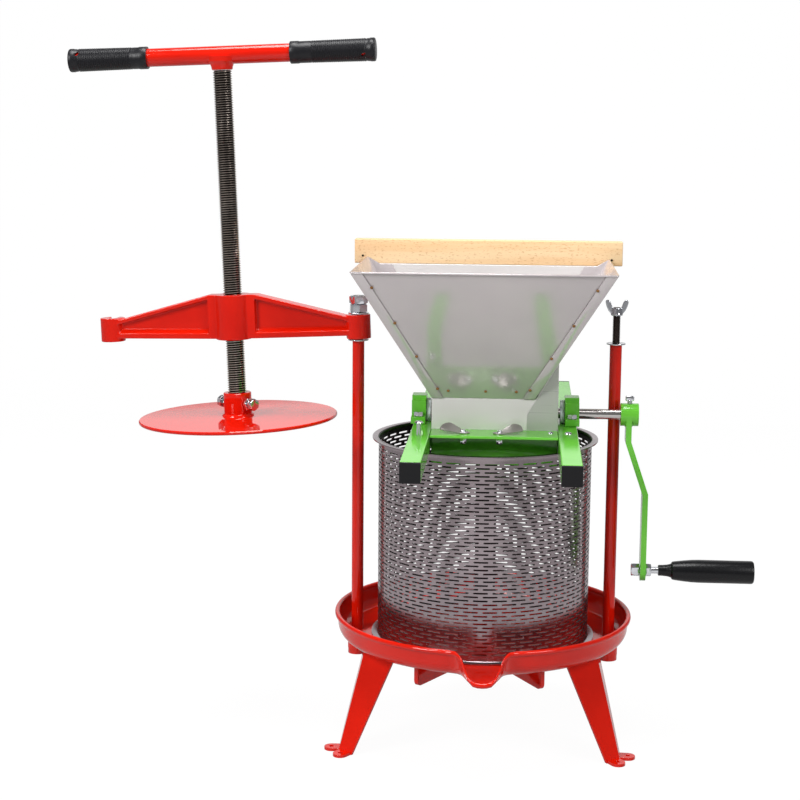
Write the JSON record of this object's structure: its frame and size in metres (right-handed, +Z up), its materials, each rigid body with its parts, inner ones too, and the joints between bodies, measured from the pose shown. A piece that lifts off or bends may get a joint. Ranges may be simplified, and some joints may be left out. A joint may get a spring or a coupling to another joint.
{
  "type": "hand fruit press with apple scratter",
  "caption": "Tripod fruit press with a perforated steel basket in a spouted tray, its screw beam swung aside, and a hopper-fed apple scratter with a side crank standing on the basket.",
  "frame": {"origin": "on the ground under the middle of the whole machine's bounding box, which lies left of the basket because the screw beam is swung out that way", "axes": "+Z up; +X to the right and +Y to the rear as seen from the spout, so the spout points to -Y and the scratter's crank is on the +X side"},
  "size_m": [0.8082, 0.5846, 0.8187],
  "materials": {
    "red_paint": "glossy orange-red enamel on steel",
    "red_casting": "glossy orange-red enamel on a casting, softly uneven",
    "green_paint": "glossy yellowish green enamel on steel",
    "green_casting": "glossy yellowish green enamel on a casting",
    "basket_steel": "rolled stainless sheet, satin, slightly warm grey",
    "sheet_steel": "folded stainless sheet, smooth and half bright",
    "bright_steel": "ground bright bar",
    "dark_steel": "blackened steel thread with worn bright crests",
    "zinc": "bright zinc plate",
    "black_grip": "ribbed black rubber, satin",
    "black_cap": "moulded black plastic, matt",
    "nylon": "white food-grade plastic, satin",
    "beech": "planed pale beech with small flecks"
  },
  "bodies": {
    "stand": {"tray": "red_paint", "base_star": "red_paint", "leg_left": "red_paint", "leg_right": "red_paint", "leg_rear": "red_paint", "leg_nut_left": "zinc", "leg_nut_right": "zinc", "leg_nut_rear": "zinc", "post_left": "red_paint", "post_right": "red_paint", "washer_low_left": "zinc", "washer_top_left": "zinc", "washer_right": "zinc", "lock_nut_lower": "zinc", "lock_nut_upper": "zinc"},
    "wing_nut": {"wing_nut": "zinc"},
    "beam": {"press_beam": "red_casting"},
    "plate": {"press_plate": "red_paint", "plate_bolt_left": "zinc", "plate_bolt_right": "zinc"},
    "screw": {"press_screw": "dark_steel", "handle_bar": "red_paint", "handle_grip_left": "black_grip", "handle_grip_right": "black_grip"},
    "basket": {"basket": "basket_steel"},
    "scratter": {"rail_left": "green_paint", "rail_right": "green_paint", "rail_cap_left_front": "black_cap", "rail_cap_left_rear": "black_cap", "rail_cap_right_front": "black_cap", "rail_cap_right_rear": "black_cap", "cross_front": "green_paint", "cross_rear": "green_paint", "bearing_block_left": "green_casting", "bearing_block_right": "green_casting", "bearing_bush_left": "nylon", "bearing_bush_right": "nylon", "block_bolt_left_front": "zinc", "block_bolt_left_rear": "zinc", "block_bolt_right_front": "zinc", "block_bolt_right_rear": "zinc", "mill_box": "sheet_steel", "hopper_front": "sheet_steel", "hopper_rear": "sheet_steel", "hopper_left": "sheet_steel", "hopper_right": "sheet_steel", "hopper_board": "beech", "deflector_left": "sheet_steel", "deflector_right": "sheet_steel", "scraper": "sheet_steel"},
    "crank": {"mill_drum": "nylon", "drum_shaft": "bright_steel", "crank_arm": "green_paint", "grip_bolt": "zinc", "grip_nut": "zinc"},
    "hub_screw": {"hub_screw": "zinc"},
    "grip": {"crank_grip": "black_grip"}
  },
  "joints": [
    {"name": "beam_swing", "type": "hinge", "parent": "stand", "child": "beam", "pos_m": [-0.06188, -0.01, 0.48678], "axis": [0, 0, 1], "range_deg": [-54, 66]},
    {"name": "screw_feed", "type": "slide", "parent": "beam", "child": "plate", "axis": [-0.0399, 0.0039, 0.9992], "range_m": [-0.1002, 0.0452]},
    {"name": "screw_turn", "type": "hinge", "parent": "plate", "child": "screw", "pos_m": [-0.21104, 0.00463, 0.48076], "axis": [-0.0399, 0.0039, 0.9992], "range_deg": [-13080, 5880]},
    {"name": "wing_nut_turn", "type": "hinge", "parent": "stand", "child": "wing_nut", "pos_m": [0.23812, -0.01, 0.504], "axis": [0, 0, 1], "continuous": true},
    {"name": "basket_lift", "type": "slide", "parent": "stand", "child": "basket", "axis": [0, 0, 1], "range_m": [0, 0.035]},
    {"name": "scratter_lift", "type": "slide", "parent": "basket", "child": "scratter", "axis": [0, 0, 1], "range_m": [0, 0.03]},
    {"name": "crank_turn", "type": "hinge", "parent": "scratter", "child": "crank", "pos_m": [0.10012, -0.03, 0.3913], "axis": [1, 0, 0], "continuous": true},
    {"name": "hub_screw_turn", "type": "hinge", "parent": "crank", "child": "hub_screw", "pos_m": [0.25472, -0.03, 0.3913], "axis": [0, 0, 1], "continuous": true},
    {"name": "grip_spin", "type": "hinge", "parent": "crank", "child": "grip", "pos_m": [0.29312, -0.03, 0.2073], "axis": [1, 0, 0], "continuous": true}
  ],
  "couplings": [
    {"joint": "screw_feed", "follows": "screw_turn", "m_per_rad": 0.00043768}
  ]
}
